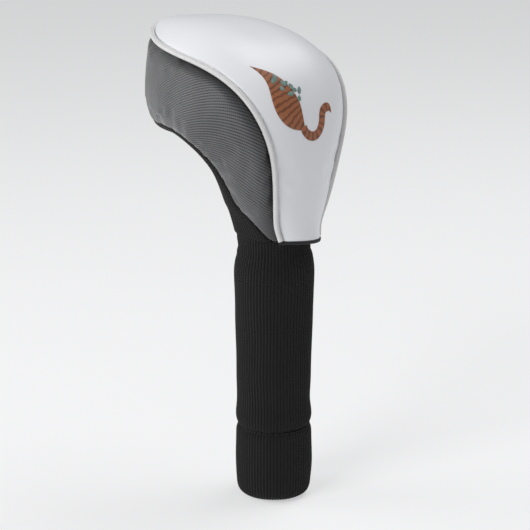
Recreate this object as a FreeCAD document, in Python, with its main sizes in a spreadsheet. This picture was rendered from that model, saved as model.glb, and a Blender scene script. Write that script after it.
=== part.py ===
import FreeCAD, Part
import Sketcher
import math
import os
from FreeCAD import Placement, Rotation, Vector

# A driver head cover: a padded, sewn shell for the club head and a long ribbed sock for the shaft.
# Origin: centre of the sock's mouth. +Z runs up the shaft, the toe leans towards -X and the
# white teardrop panel faces +X and up. The cover is symmetric about the XZ plane.

DOCUMENT = FreeCAD.newDocument("DriverHeadCover")
SHEET = DOCUMENT.addObject("Spreadsheet::Sheet", "Sizes")
PARTS_FOLDER = "parts"

# Driving dimensions in millimetres, and angles in degrees where the name says so.
SIZES = {
    # layers of the padded shell, from the outside inwards
    "skin_thickness": 1.2,
    "foam_thickness": 4.0,
    "fleece_thickness": 1.6,
    "knit_thickness": 2.2,
    "layer_gap": 0.1,
    "panel_gap": 0.15,
    # how the shell is closed at the toe and cut off at the neck
    "rounding_start": 0.70,
    "toe_slope_angle": 4.0,
    "neck_tangent": 190.0,
    "toe_tangent": 246.0,
    "tip_share": 0.5,
    "skirt_length": 12.0,
    "hem_height": 199.5,
    # piping in the seam round the white panel
    "cord_radius": 1.5,
    "piping_bore": 1.6,
    "piping_radius": 2.1,
    "piping_lift": 1.1,
    "piping_room": 2.3,
    "piping_clearance": 2.25,
    # stitches
    "stitch_radius": 0.35,
    "stitch_length": 3.0,
    # tape inside the underside seam
    "tape_thickness": 0.8,
    "tape_half_width": 3.0,
    # binding round the lower hem of the white panel
    "binding_rise": 0.7,
    "binding_depth": 1.8,
    "binding_low": 196.7,
    "binding_high": 199.3,
    # sock: outside radius and height of each bend of its profile
    "sock_end_radius": 26.3,
    "sock_end_height": 54.5,
    "sock_lower_radius": 27.3,
    "sock_lower_height": 68.0,
    "sock_middle_radius": 27.6,
    "sock_middle_height": 115.0,
    "sock_shoulder_radius": 29.3,
    "sock_shoulder_height": 166.0,
    "sock_waist_radius": 26.3,
    "sock_waist_height": 189.0,
    "sock_top_radius": 26.8,
    "sock_top_height": 196.2,
    # elastic ring inside the waist
    "neck_elastic_outside": 24.0,
    "neck_elastic_inside": 22.9,
    "neck_elastic_low": 185.5,
    "neck_elastic_high": 193.5,
    "neck_stitch_radius": 26.6,
    "neck_stitch_height": 197.8,
    "neck_stitch_count": 40,
    # cuff: turned-in end of the sock
    "mouth_radius": 20.0,
    "mouth_height": 0.0,
    "cuff_roll_radius": 24.6,
    "cuff_roll_height": 1.8,
    "cuff_low_radius": 27.0,
    "cuff_low_height": 8.0,
    "cuff_middle_radius": 28.1,
    "cuff_middle_height": 25.0,
    "cuff_high_radius": 27.7,
    "cuff_high_height": 43.0,
    "cuff_top_radius": 26.4,
    "cuff_top_height": 52.0,
    "cuff_knit": 1.8,
    "cuff_elastic_outside": 24.9,
    "cuff_elastic_inside": 23.9,
    "cuff_elastic_low": 12.0,
    "cuff_elastic_high": 42.0,
    "cuff_hem_outside": 23.7,
    "cuff_hem_inside": 22.1,
    "cuff_hem_low": 6.0,
    "cuff_hem_high": 51.0,
    "cuff_stitch_radius": 26.1,
    "cuff_stitch_height": 53.25,
    "cuff_stitch_count": 40,
}

# The shell is lofted through six stations from the neck to the toe.
COLUMNS = ("place", "centre_x", "centre_z", "half_width", "above", "below",
           "fullness", "piping_angle", "underside_angle")
STATIONS = {
    "neck": (0.00, 3.0, 200.0, 29.0, 30.5, 32.0, 2.0, 45.0, 30.0),
    "collar": (0.16, 4.0, 221.0, 36.0, 29.5, 37.0, 2.3, 45.0, -6.0),
    "heel": (0.34, 0.5, 252.0, 51.0, 38.0, 32.0, 2.5, 48.0, -14.0),
    "bend": (0.52, -14.5, 278.5, 64.0, 54.5, 29.0, 2.7, 40.0, -22.0),
    "crown": (0.72, -49.5, 302.5, 60.0, 47.5, 43.5, 2.6, 28.5, -40.0),
    "toe": (1.00, -107.5, 316.5, 54.0, 31.0, 50.0, 2.8, 35.0, -39.0),
}

BODY_RINGS = 11      # sections from the neck to where the toe starts to round off
TOE_RINGS = 9        # sections of the rounded toe
RING_POINTS = 17     # points of each half section
ARC_STEPS = 120      # finer steps that those points are spaced along
HALF_DEGREE = 0.5
FAR = 400.0          # beyond the whole cover, for the cutting regions
BEYOND_TOE = 40.0    # how far a seam's cutting edge runs on past the toe
TIP_RINGS = 2        # sections at the tip that a cutting edge bridges


def fill_sheet():
    """Write every driving dimension into the spreadsheet under its own alias."""
    cells = dict(SIZES)
    for station, row in STATIONS.items():
        for column, value in zip(COLUMNS, row):
            cells[f"{station}_{column}"] = value
    for line, (alias, value) in enumerate(cells.items(), start=1):
        SHEET.set(f"A{line}", alias)
        SHEET.set(f"B{line}", str(value))
        SHEET.setAlias(f"B{line}", alias)
    DOCUMENT.recompute()


def size(alias):
    """A driving dimension as it stands in the spreadsheet."""
    return float(getattr(SHEET, alias))


def amount(formula):
    """Value of a sum or difference of aliases, such as 'cuff_top_radius - cuff_knit'."""
    total = 0.0
    sign = 1.0
    for word in formula.split():
        if word in "+-":
            sign = 1.0 if word == "+" else -1.0
        else:
            total += sign * size(word)
    return total


def in_sheet(formula):
    """The same formula as an expression that refers to the spreadsheet."""
    return " ".join(word if word in "+-" else f"Sizes.{word}" for word in formula.split())


# ---------------------------------------------------------------- shape of the padded shell


def guide(first, second, third, **tangents):
    """Smooth curve whose three coordinates are three columns of the stations.

    A tangent is the run of the curve, in mm, over one unit of place.
    """
    points = [Vector(*(size(f"{name}_{column}") if column else 0.0
                       for column in (first, second, third))) for name in STATIONS]
    places = [size(f"{name}_place") for name in STATIONS]
    curve = Part.BSplineCurve()
    curve.interpolate(Points=points, Parameters=places, **tangents)
    return curve


def spine_guide():
    """Line of section centres: it leaves the neck upright and reaches the toe slightly rising."""
    slope = math.radians(size("toe_slope_angle"))
    neck_tangent = Vector(0, 0, size("neck_tangent"))
    toe_tangent = Vector(-math.cos(slope), 0, math.sin(slope)) * size("toe_tangent")
    return guide("centre_x", None, "centre_z", InitialTangent=neck_tangent,
                 FinalTangent=toe_tangent, Scale=False)


def section_point(place, squeeze, angle, inset):
    """Point of the near half of a section: angle 90 is the crown, 0 the side, -90 the keel.

    Towards the tip of the toe the crown and the sole sink to a small share of their height
    beyond the seams, so the panels close on the seams without a ridge.
    """
    centre, along = SPINE.getD1(place)
    up = Vector(along.z, 0, -along.x).normalize()
    half_width, above, below = SECTION_SIZE.value(place)
    power = 2.0 / SECTION_FORM.value(place).x

    def rise(turn):
        sine = math.sin(math.radians(turn))
        reach = (above if sine > 0 else below) - inset
        return math.copysign(abs(sine) ** power, sine) * reach

    piping_angle, underside_angle, _ = SEAM_ANGLES.value(place)
    seam_angle = min(max(angle, underside_angle), piping_angle)
    share = size("tip_share")
    fullness = share + (1 - share) * math.sqrt(squeeze)
    height = rise(seam_angle) + (rise(angle) - rise(seam_angle)) * fullness
    width = (half_width - inset) * squeeze * math.cos(math.radians(angle)) ** power
    return centre + up * height - Vector(0, width, 0)


def rings(inset):
    """Place and width factor of each section: full width first, then rounded off in plan."""
    start = size("rounding_start")
    toe_end = 1.0 - inset / SPINE.getD1(1.0)[1].Length
    body = [(start * ring / BODY_RINGS, 1.0) for ring in range(BODY_RINGS)]
    toe = []
    for ring in range(TOE_RINGS):
        turn = math.radians(90.0 * ring / (TOE_RINGS - 1))
        squeeze = math.cos(turn) if ring < TOE_RINGS - 1 else 0.0
        toe.append((start + (toe_end - start) * math.sin(turn), squeeze))
    return body + toe


def half_section(place, squeeze, inset):
    """Evenly spaced points of half a section, from the keel to the crown."""
    fine = [section_point(place, squeeze, 180.0 * step / ARC_STEPS - 90.0, inset)
            for step in range(ARC_STEPS + 1)]
    lengths = [0.0]
    for before, after in zip(fine, fine[1:]):
        lengths.append(lengths[-1] + (after - before).Length)
    points = [fine[0]]
    step = 0
    for index in range(1, RING_POINTS - 1):
        wanted = lengths[-1] * index / (RING_POINTS - 1)
        while lengths[step + 1] < wanted:
            step += 1
        share = (wanted - lengths[step]) / (lengths[step + 1] - lengths[step])
        points.append(fine[step] + (fine[step + 1] - fine[step]) * share)
    points.append(fine[-1])
    for end in (0, -1):
        points[end].y = 0.0
    return points


def shell_solid(inset):
    """The whole shell as one solid, with its surface moved inwards by inset."""
    grid = [half_section(place, squeeze, inset) for place, squeeze in rings(inset)]
    drop = Vector(0, 0, -size("skirt_length"))
    grid.insert(0, [point + drop for point in grid[0]])
    surface = Part.BSplineSurface()
    surface.interpolate(grid)
    near = surface.toShape()
    far = near.mirror(Vector(), Vector(0, 1, 0))
    rims = [min(side.Edges, key=lambda edge: edge.BoundBox.ZMax) for side in (near, far)]
    cap = Part.Face(Part.Wire(rims))
    shell = Part.makeShell([near, far, cap])
    shell.sewShape()
    solid = Part.makeSolid(shell)
    if solid.Volume < 0:
        solid.reverse()
    return solid


def seam_point(place, squeeze, column, shift, lift):
    """Point on a seam, moved by shift over the surface towards the crown and lifted off it."""
    angles = SEAM_ANGLES.value(place)
    angle = angles.x if column == "piping_angle" else angles.y
    before = section_point(place, squeeze, angle - HALF_DEGREE, -lift)
    after = section_point(place, squeeze, angle + HALF_DEGREE, -lift)
    return section_point(place, squeeze, angle + shift / (after - before).Length, -lift)


def seam_points(column, shift=0.0, lift=0.0):
    """The near half of a seam from the neck to the middle of the toe."""
    return [seam_point(place, squeeze, column, shift, lift) for place, squeeze in rings(-lift)]


def seam_curve(column, shift, depth):
    """A seam at a depth below the surface, seen from the side and carried on past both ends."""
    flat = [Vector(point.x, 0, point.z) for point in seam_points(column, shift, -depth)]
    flat = flat[:-TIP_RINGS]
    below = flat[0] - Vector(0, 0, size("skirt_length"))
    outward = (flat[-1] - flat[-2]).normalize()
    curve = Part.BSplineCurve()
    curve.interpolate(Points=[below] + flat + [flat[-1] + outward * BEYOND_TOE])
    return curve.toShape()


def end_points(edge):
    """First and last point of a seam curve: below the neck and beyond the toe."""
    return edge.Vertexes[0].Point, edge.Vertexes[-1].Point


def region(seams, corners):
    """Everything inside an outline of seam curves and corners, across the cover, above the hem."""
    lines = [Part.makeLine(start, end) for start, end in zip(corners, corners[1:])]
    face = Part.Face(Part.Wire(Part.__sortEdges__(seams + lines)))
    face.translate(Vector(0, -FAR / 2, 0))
    above_hem = Part.makeBox(FAR, FAR, FAR, Vector(-FAR / 2, -FAR / 2, size("hem_height")))
    return face.extrude(Vector(0, FAR, 0)).common(above_hem)


def top_region(shift, depth):
    """Everything on the crown side of the piping seam."""
    seam = seam_curve("piping_angle", shift, depth)
    neck, toe = end_points(seam)
    outline = [toe, Vector(toe.x, 0, FAR), Vector(FAR / 2, 0, FAR), Vector(FAR / 2, 0, neck.z), neck]
    return region([seam], outline)


def underside_region(shift, depth):
    """Everything on the sole side of the underside seam."""
    seam = seam_curve("underside_angle", -shift, depth)
    neck, toe = end_points(seam)
    return region([seam], [toe, Vector(toe.x, 0, neck.z), neck])


def band_region(upper, lower, depth):
    """Everything between two seams, each given as its column and its shift."""
    upper_seam = seam_curve(*upper, depth)
    lower_seam = seam_curve(*lower, depth)
    upper_neck, upper_toe = end_points(upper_seam)
    lower_neck, lower_toe = end_points(lower_seam)
    ends = [Part.makeLine(upper_toe, lower_toe), Part.makeLine(lower_neck, upper_neck)]
    return region([upper_seam, lower_seam] + ends, [])


def layer(space, outside, inside):
    """The part of the shell that lies in a space, between two depths below the surface."""
    return space.common(shell_solid(outside)).cut(shell_solid(inside))


def top_layer(shift, outside, inside):
    """A layer of the top panel."""
    return layer(top_region(shift, (outside + inside) / 2), outside, inside)


def side_layer(shift, outside, inside):
    """A layer of the band between the piping seam and the underside seam."""
    upper = ("piping_angle", -shift)
    lower = ("underside_angle", size("panel_gap"))
    return layer(band_region(upper, lower, (outside + inside) / 2), outside, inside)


def underside_layer(outside, inside):
    """A layer of the sole side."""
    space = underside_region(size("panel_gap"), (outside + inside) / 2)
    return layer(space, outside, inside)


def feature(label, shape):
    """A free-form sub-part: its shape comes from the functions above."""
    part = DOCUMENT.addObject("Part::Feature", label)
    part.Shape = shape
    part.Placement = Placement()
    part.Label = label
    return part


# ---------------------------------------------------------------- sub-parts of the shell


def make_panels(piping_space):
    """Skins, foam and fleece of the top panel, the side gusset and the underside."""
    skin = size("skin_thickness")
    gap = size("layer_gap")
    foam_start = skin + gap
    foam_end = foam_start + size("foam_thickness")
    fleece_start = foam_end + gap
    fleece_end = fleece_start + size("fleece_thickness")
    knit = size("knit_thickness")
    backing_end = knit + gap + size("fleece_thickness")
    room = size("piping_room")
    seam = size("panel_gap")
    side_skin = side_layer(room, 0.0, skin).cut(piping_space)
    side_foam = side_layer(seam, foam_start, foam_end)
    underside = underside_layer(0.0, knit).cut(side_skin).cut(side_foam)
    return [
        feature("top_panel", top_layer(room, 0.0, skin).cut(piping_space)),
        feature("top_panel_foam", top_layer(seam, foam_start, foam_end).cut(piping_space)),
        feature("top_panel_lining", top_layer(seam, fleece_start, fleece_end)),
        feature("side_gusset", side_skin),
        feature("side_gusset_foam", side_foam.cut(piping_space)),
        feature("side_gusset_lining", side_layer(seam, fleece_start, fleece_end)),
        feature("underside_knit", underside),
        feature("underside_lining", underside_layer(knit + gap, backing_end)),
    ]


def make_seam_tape():
    """Tape that covers the raw seam between the gusset and the knit, on the inside."""
    half = size("tape_half_width")
    outside = (size("skin_thickness") + size("foam_thickness") + size("fleece_thickness")
               + 3 * size("layer_gap"))
    inside = outside + size("tape_thickness")
    strip = band_region(("underside_angle", half), ("underside_angle", -half), outside)
    return feature("underside_seam_tape", layer(strip, outside, inside))


def make_hem_binding():
    """Black tape folded round the lower hem of the white panel."""
    seam_start = seam_points("piping_angle")[0]
    low = size("binding_low")
    slab = Part.makeBox(FAR, FAR, size("binding_high") - low, Vector(seam_start.x, -FAR / 2, low))
    return feature("hem_binding", layer(slab, -size("binding_rise"), size("binding_depth")))


def mirrored(point):
    """The same point on the other side of the cover."""
    return Vector(point.x, -point.y, point.z)


def make_piping():
    """Filler cord, its folded cover and the space they need, swept along the piping seam."""
    near = seam_points("piping_angle", 0.0, size("piping_lift"))
    curve = Part.BSplineCurve()
    curve.interpolate(Points=near + [mirrored(point) for point in reversed(near[:-1])])
    path = feature("piping_path", curve.toShape())
    start, direction = curve.getD1(curve.FirstParameter)
    facing = Placement(start, Rotation(Vector(0, 0, 1), direction))
    sweeps = {}
    for name, radius in (("piping_cord", "cord_radius"), ("piping_inside", "piping_bore"),
                         ("piping_outside", "piping_radius"), ("piping_space", "piping_clearance")):
        circle = DOCUMENT.addObject("Part::Circle", name + "_circle")
        circle.setExpression("Radius", f"Sizes.{radius}")
        circle.Placement = facing
        sweep = DOCUMENT.addObject("Part::Sweep", name)
        sweep.Label = name
        sweep.Sections = [circle]
        sweep.Spine = (path, ["Edge1"])
        sweep.Solid = True
        sweeps[name] = sweep
    cover = DOCUMENT.addObject("Part::Cut", "piping_cover")
    cover.Label = "piping_cover"
    cover.Base = sweeps["piping_outside"]
    cover.Tool = sweeps["piping_inside"]
    DOCUMENT.recompute()
    return [sweeps["piping_cord"], cover], sweeps["piping_space"].Shape


# ---------------------------------------------------------------- sub-parts of the sock and cuff


def turned_body(label, outline):
    """A body turned about Z from a closed outline of (radius, height) formulas."""
    body = DOCUMENT.addObject("PartDesign::Body", label)
    body.Label = label
    sketch = body.newObject("Sketcher::SketchObject", label + "_outline")
    plane = next(item for item in body.Origin.OriginFeatures if item.Role == "XZ_Plane")
    sketch.AttachmentSupport = (plane, [""])
    sketch.MapMode = "FlatFace"
    corners = [Vector(amount(radius), amount(height), 0) for radius, height in outline]
    for start, end in zip(corners, corners[1:] + corners[:1]):
        sketch.addGeometry(Part.LineSegment(start, end))
    for line in range(len(corners)):
        following = (line + 1) % len(corners)
        sketch.addConstraint(Sketcher.Constraint("Coincident", line, 2, following, 1))
    for line, formulas in enumerate(outline):
        for kind, formula in zip(("DistanceX", "DistanceY"), formulas):
            distance = Sketcher.Constraint(kind, -1, 1, line, 1, amount(formula))
            index = sketch.addConstraint(distance)
            sketch.setExpression(f"Constraints[{index}]", in_sheet(formula))
    turn = body.newObject("PartDesign::Revolution", label + "_turn")
    turn.Profile = sketch
    turn.ReferenceAxis = (sketch, ["V_Axis"])
    turn.Angle = 360.0
    body.Tip = turn
    return body


def make_sock():
    """The long ribbed tube between the neck and the cuff."""
    bends = ("sock_end", "sock_lower", "sock_middle", "sock_shoulder", "sock_waist", "sock_top")
    outside = [(f"{bend}_radius", f"{bend}_height") for bend in bends]
    inside = [(f"{radius} - knit_thickness", height) for radius, height in reversed(outside)]
    return turned_body("knit_sock", outside + inside)


def make_cuff():
    """The outer layer of the cuff, rolled in at the mouth."""
    bends = ("cuff_low", "cuff_middle", "cuff_high", "cuff_top")
    outside = [(f"{bend}_radius", f"{bend}_height") for bend in bends]
    inside = [(f"{radius} - cuff_knit", height) for radius, height in reversed(outside)]
    roll = [
        ("cuff_roll_radius - cuff_knit", "cuff_roll_height + cuff_knit"),
        ("mouth_radius", "mouth_height + cuff_knit"),
        ("mouth_radius", "mouth_height"),
        ("cuff_roll_radius", "cuff_roll_height"),
    ]
    return turned_body("sock_cuff", outside + inside + roll)


def make_band(label):
    """A flat ring whose sizes have the label's own aliases."""
    return turned_body(label, [
        (f"{label}_inside", f"{label}_low"),
        (f"{label}_outside", f"{label}_low"),
        (f"{label}_outside", f"{label}_high"),
        (f"{label}_inside", f"{label}_high"),
    ])


def make_stitch_ring(label, prefix):
    """A ring of stitches: one short cylinder across the seam, repeated round the Z axis."""
    body = DOCUMENT.addObject("PartDesign::Body", label)
    body.Label = label
    body.AllowCompound = True
    stitch = body.newObject("PartDesign::AdditiveCylinder", label + "_stitch")
    stitch.setExpression("Radius", "Sizes.stitch_radius")
    stitch.setExpression("Height", "Sizes.stitch_length")
    half = size("stitch_length") / 2
    middle = Vector(size(f"{prefix}_radius"), half, size(f"{prefix}_height"))
    stitch.Placement = Placement(middle, Rotation(Vector(1, 0, 0), 90))
    DOCUMENT.recompute()
    pattern = body.newObject("PartDesign::PolarPattern", label + "_ring")
    pattern.Originals = [stitch]
    axis = next(item for item in body.Origin.OriginFeatures if item.Role == "Z_Axis")
    pattern.Axis = (axis, [""])
    pattern.Angle = 360.0
    pattern.setExpression("Occurrences", f"Sizes.{prefix}_count")
    body.Tip = pattern
    return body


def check_document(parts):
    """Stop before anything is written if an object failed or a sub-part isn't a sound solid."""
    for item in DOCUMENT.Objects:
        if "Invalid" in item.State or "Error" in item.State:
            raise RuntimeError(f"{item.Label} is in state {item.State}")
    for part in parts:
        shape = part.Shape
        if shape.isNull() or not shape.isValid() or not shape.Solids:
            raise RuntimeError(f"{part.Label} has no valid solid")


def write_parts(parts):
    """One STEP file per sub-part, named after its label."""
    os.makedirs(PARTS_FOLDER, exist_ok=True)
    for part in parts:
        part.Shape.exportStep(f"{PARTS_FOLDER}/{part.Label}.step")


fill_sheet()
SPINE = spine_guide()
SECTION_SIZE = guide("half_width", "above", "below")
SECTION_FORM = guide("fullness", None, None)
SEAM_ANGLES = guide("piping_angle", "underside_angle", None)

PIPING, PIPING_SPACE = make_piping()
PARTS = make_panels(PIPING_SPACE) + PIPING
PARTS += [make_seam_tape(), make_hem_binding()]
PARTS += [make_sock(), make_cuff()]
PARTS += [make_band(label) for label in ("neck_elastic", "cuff_elastic", "cuff_hem")]
PARTS += [make_stitch_ring("neck_seam_stitches", "neck_stitch")]
PARTS += [make_stitch_ring("cuff_seam_stitches", "cuff_stitch")]
DOCUMENT.recompute()
check_document(PARTS)
write_parts(PARTS)
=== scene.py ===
import math

import bmesh
import bpy
import numpy as np
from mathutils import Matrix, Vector, noise
from mathutils.bvhtree import BVHTree


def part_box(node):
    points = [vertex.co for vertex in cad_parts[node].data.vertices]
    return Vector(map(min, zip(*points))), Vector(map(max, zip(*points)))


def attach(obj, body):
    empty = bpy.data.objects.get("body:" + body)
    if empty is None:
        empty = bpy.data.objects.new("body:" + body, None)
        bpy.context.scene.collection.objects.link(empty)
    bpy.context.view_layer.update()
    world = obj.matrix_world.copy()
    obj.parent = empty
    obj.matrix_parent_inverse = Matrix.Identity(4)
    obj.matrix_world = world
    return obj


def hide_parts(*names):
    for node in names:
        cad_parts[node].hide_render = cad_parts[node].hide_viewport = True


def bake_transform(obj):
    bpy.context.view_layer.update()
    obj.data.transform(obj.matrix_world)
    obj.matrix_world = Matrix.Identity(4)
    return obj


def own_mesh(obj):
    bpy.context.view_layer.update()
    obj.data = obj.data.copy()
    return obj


# Looks of a golf driver head cover, built round its CAD frame. Shapes are worked out in
# millimetres and turned into metres when a mesh is made. +Z runs up the shaft, -X is the toe,
# and the cover is symmetric about the XZ plane, apart from one corner of its hem.

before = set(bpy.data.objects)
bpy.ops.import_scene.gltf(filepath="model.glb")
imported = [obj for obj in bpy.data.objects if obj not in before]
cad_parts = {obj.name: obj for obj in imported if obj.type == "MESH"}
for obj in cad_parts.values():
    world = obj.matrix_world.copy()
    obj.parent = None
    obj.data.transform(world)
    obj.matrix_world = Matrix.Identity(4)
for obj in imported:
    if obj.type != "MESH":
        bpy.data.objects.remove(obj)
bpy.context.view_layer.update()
MM = 0.001

# ------------------------------------------------------------------ shape of the padded shell

# place along the cover, then section centre x and z, half width, height above and below the
# centre, fullness of the outline, and the angles of the piping seam and the underside seam; the
# piping is sewn up to 3.2 degrees nearer the crown than on the solids
STATIONS = np.array([
    (0.00, 3.0, 200.0, 29.0, 30.5, 32.0, 2.0, 45.0, 30.0),       # neck
    (0.16, 4.0, 221.0, 36.0, 29.5, 37.0, 2.3, 44.5, -6.0),       # collar
    (0.34, 0.5, 252.0, 51.0, 38.0, 32.0, 2.5, 51.2, -14.0),      # heel
    (0.52, -14.5, 278.5, 64.0, 54.5, 29.0, 2.7, 43.2, -22.0),    # bend
    (0.72, -49.5, 302.5, 60.0, 47.5, 43.5, 2.6, 30.2, -40.0),    # crown
    (1.00, -107.5, 316.5, 54.0, 31.0, 50.0, 2.8, 36.0, -39.0),   # toe
])
PIPING_SEAM = 7             # columns of the stations that hold the seams' angles
UNDERSIDE_SEAM = 8
TOE_RISE = math.radians(4.0)
NECK_TANGENT = 190.0 * np.array([0.0, 1.0])
TOE_TANGENT = 246.0 * np.array([-math.cos(TOE_RISE), math.sin(TOE_RISE)])
ROUNDING_START = 0.70       # place from which the section shrinks towards the tip of the toe
CROWN_TIP_SHARE = 0.05      # how much of the height beyond a seam is left at the tip of the toe
SOLE_TIP_SHARE = 0.5
CROWN = 90.0                # angle of the crown in a section; the near side is at 0, the keel at -90
FINE_STEPS = 180            # steps of an arc before its points are spaced evenly


def end_slope(knots, values, end):
    """Slope at an end of the cubic through the four values nearest to it."""
    nearest = slice(0, 4) if end == 0 else slice(-4, None)
    return np.array([np.polyval(np.polyder(np.polyfit(knots[nearest], column[nearest], 3)), knots[end])
                     for column in values.T])


def spline(knots, values, at, first=None, last=None):
    """Smooth curve through rows of values at the knots, and its slope, at each place asked for."""
    values = values.reshape(len(knots), -1).astype(float)
    steps = np.diff(knots)
    rises = np.diff(values, axis=0) / steps[:, None]
    system = np.eye(len(knots))
    target = np.zeros_like(values)
    target[0] = end_slope(knots, values, 0) if first is None else first
    target[-1] = end_slope(knots, values, -1) if last is None else last
    for i in range(1, len(knots) - 1):
        system[i, i - 1:i + 2] = steps[i], 2 * (steps[i - 1] + steps[i]), steps[i - 1]
        target[i] = 3 * (steps[i] * rises[i - 1] + steps[i - 1] * rises[i])
    slopes = np.linalg.solve(system, target)
    at = np.asarray(at, float)
    span = np.clip(np.searchsorted(knots, at, side="right") - 1, 0, len(steps) - 1)
    width = steps[span][:, None]
    t = ((at - knots[span])[:, None]) / width
    before, after = values[span], values[span + 1]
    slope_before, slope_after = slopes[span] * width, slopes[span + 1] * width
    value = (before * (1 + 2 * t) * (1 - t) ** 2 + slope_before * t * (1 - t) ** 2
             + after * t * t * (3 - 2 * t) + slope_after * t * t * (t - 1))
    slope = (6 * t * (t - 1) * (before - after) + slope_before * (1 - t) * (1 - 3 * t)
             + slope_after * t * (3 * t - 2)) / width
    return value, slope


def unit(vectors):
    """Vectors made one long; those of no length stay as they are."""
    return vectors / np.maximum(np.linalg.norm(vectors, axis=-1, keepdims=True), 1e-9)


def spine(place):
    """Centre of the section at each place, and the direction of the spine there."""
    knots, centres = STATIONS[:, 0], STATIONS[:, 1:3]
    centre, along = spline(knots, centres, place, NECK_TANGENT, TOE_TANGENT)
    return centre, unit(along)


def form(place):
    """Half width, heights, fullness and seam angles of the section at each place."""
    return spline(STATIONS[:, 0], STATIONS[:, 3:], place)[0]


def seam_angle(place, seam):
    """Angle of a seam on the near side at each place."""
    return spline(STATIONS[:, 0], STATIONS[:, seam], place)[0][:, 0]


def shell(place, squeeze, angle, lift=0.0):
    """Points (rows, columns, 3) of the shell. Angles past 90 or below -90 are on the far side."""
    centre, along = spine(place)
    up = np.stack([along[:, 1], -along[:, 0]], axis=1)
    half_width, above, below, fullness, upper, lower = form(place).T[:, :, None]
    far = (angle > CROWN) | (angle < -CROWN)
    turn = np.where(angle > CROWN, 180.0 - angle, np.where(angle < -CROWN, -180.0 - angle, angle))
    power = 2.0 / fullness

    def rise(degrees):
        sine = np.sin(np.radians(degrees))
        return np.sign(sine) * np.abs(sine) ** power * (np.where(sine > 0, above, below) + lift)

    kept = np.clip(turn, lower, upper)
    squeeze = squeeze[:, None]
    share = np.where(turn > upper, CROWN_TIP_SHARE, SOLE_TIP_SHARE)
    fill = share + (1 - share) * np.sqrt(squeeze)
    height = rise(kept) + (rise(turn) - rise(kept)) * fill
    cosine = np.clip(np.cos(np.radians(turn)), 0.0, 1.0)
    width = (half_width + lift) * squeeze * cosine ** power
    points = np.empty(angle.shape + (3,))
    points[..., 0] = centre[:, 0:1] + up[:, 0:1] * height
    points[..., 1] = np.where(far, width, -width)
    points[..., 2] = centre[:, 1:2] + up[:, 1:2] * height
    return points


def stations_along(body_rows, toe_rows, lift=0.0):
    """Place and width factor of each row from the neck to the tip of the toe."""
    body = np.linspace(0.0, ROUNDING_START, body_rows, endpoint=False)
    turn = np.linspace(0.0, math.pi / 2, toe_rows)
    toe_end = 1.0 + lift / np.linalg.norm(TOE_TANGENT)
    toe = ROUNDING_START + (toe_end - ROUNDING_START) * np.sin(turn)
    squeeze = np.concatenate([np.ones(body_rows), np.cos(turn)])
    squeeze[-1] = 0.0
    return np.concatenate([body, toe]), squeeze


def along_line(points, length, wanted):
    """Points on a line at the wanted lengths, given the length run at each of its own points."""
    return np.stack([np.interp(wanted, length, points[:, k]) for k in range(3)], axis=1)


def even_rows(points, count):
    """Each row of points spaced evenly along its own length."""
    lengths = run_lengths(points, 1)
    return np.array([along_line(row, length, np.linspace(0.0, length[-1], count))
                     for row, length in zip(points, lengths)])


def band(place, squeeze, start, end, columns, lift=0.0):
    """Grid of points between two angles that change along the cover."""
    share = np.linspace(0.0, 1.0, FINE_STEPS)
    angle = start[:, None] + (end - start)[:, None] * share
    return even_rows(shell(place, squeeze, angle, lift), columns)


def shifted(place, squeeze, seam, shift):
    """Angle of a seam, moved by so many millimetres over the surface towards the crown."""
    angle = seam_angle(place, seam)
    half = 0.5
    pair = shell(place, squeeze, np.stack([angle - half, angle + half], axis=1))
    per_degree = np.linalg.norm(pair[:, 1] - pair[:, 0], axis=1)
    return angle + shift / per_degree


# ------------------------------------------------------------------ grids of points and objects


def far_side(grid):
    """The same grid on the other side of the cover."""
    return grid * np.array([1.0, -1.0, 1.0])


def run_lengths(grid, axis):
    """Length run so far along each line of the grid."""
    gaps = np.linalg.norm(np.diff(grid, axis=axis), axis=2)
    sums = np.cumsum(gaps, axis=axis)
    pad = [(0, 0), (0, 0)]
    pad[axis] = (1, 0)
    return np.pad(sums, pad)


def flat_map(grid):
    """Lengths along the middle column, and across each row from its middle, for the weaves."""
    middle = grid.shape[1] // 2
    along = run_lengths(grid, 0)[:, middle:middle + 1]
    across = run_lengths(grid, 1)
    across = across - across[:, middle:middle + 1]
    return np.stack([np.broadcast_to(along, across.shape), across], axis=-1)


def normals(grid):
    """Unit normals that point away from the middle of the cover's section."""
    made = np.cross(np.gradient(grid, axis=1), np.gradient(grid, axis=0))
    size = np.linalg.norm(made, axis=2, keepdims=True)
    made = made / np.maximum(size, 1e-9)
    for row in list(range(1, len(made))) + list(range(len(made) - 2, -1, -1)):
        weak = size[row, :, 0] < 1e-3
        neighbour = row - 1 if row > 0 and size[row - 1].min() > 1e-3 else min(row + 1, len(made) - 1)
        made[row, weak] = made[neighbour, weak]
    away = grid - grid.mean(axis=1, keepdims=True)
    return made if (made * away).sum() > 0 else -made


def grid_faces(rows, columns):
    """Numbers of a grid's points, row by row, and the quads between them."""
    index = np.arange(rows * columns).reshape(rows, columns)
    quads = np.stack([index[:-1, :-1], index[:-1, 1:], index[1:, 1:], index[1:, :-1]], axis=-1)
    return index, quads.reshape(-1, 4)


def edge_distance(grid):
    """Distance of each point from the nearer side edge of its row."""
    across = run_lengths(grid, 1)
    return np.minimum(across, across[:, -1:] - across)


def tuck(distance, depth, width):
    """How far a sewn edge dives below the panel: all of depth at the seam, fading inwards."""
    return -depth * np.exp(-(distance / width) ** 1.5)


def rumple(grid, wavelength, seed):
    """Smooth noise at each point of a grid, about -1 to 1."""
    shift = Vector((seed * 7.3, seed * 3.1, seed * 5.7))
    flat = [noise.noise(Vector(point) / wavelength + shift) for point in grid.reshape(-1, 3).tolist()]
    return np.array(flat).reshape(grid.shape[:2])


def rib(x):
    """Height of a knitted rib: 1 on its rounded crest, 0 in the narrow groove, one rib per unit."""
    return np.abs(np.cos(np.pi * x)) ** 0.7


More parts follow.
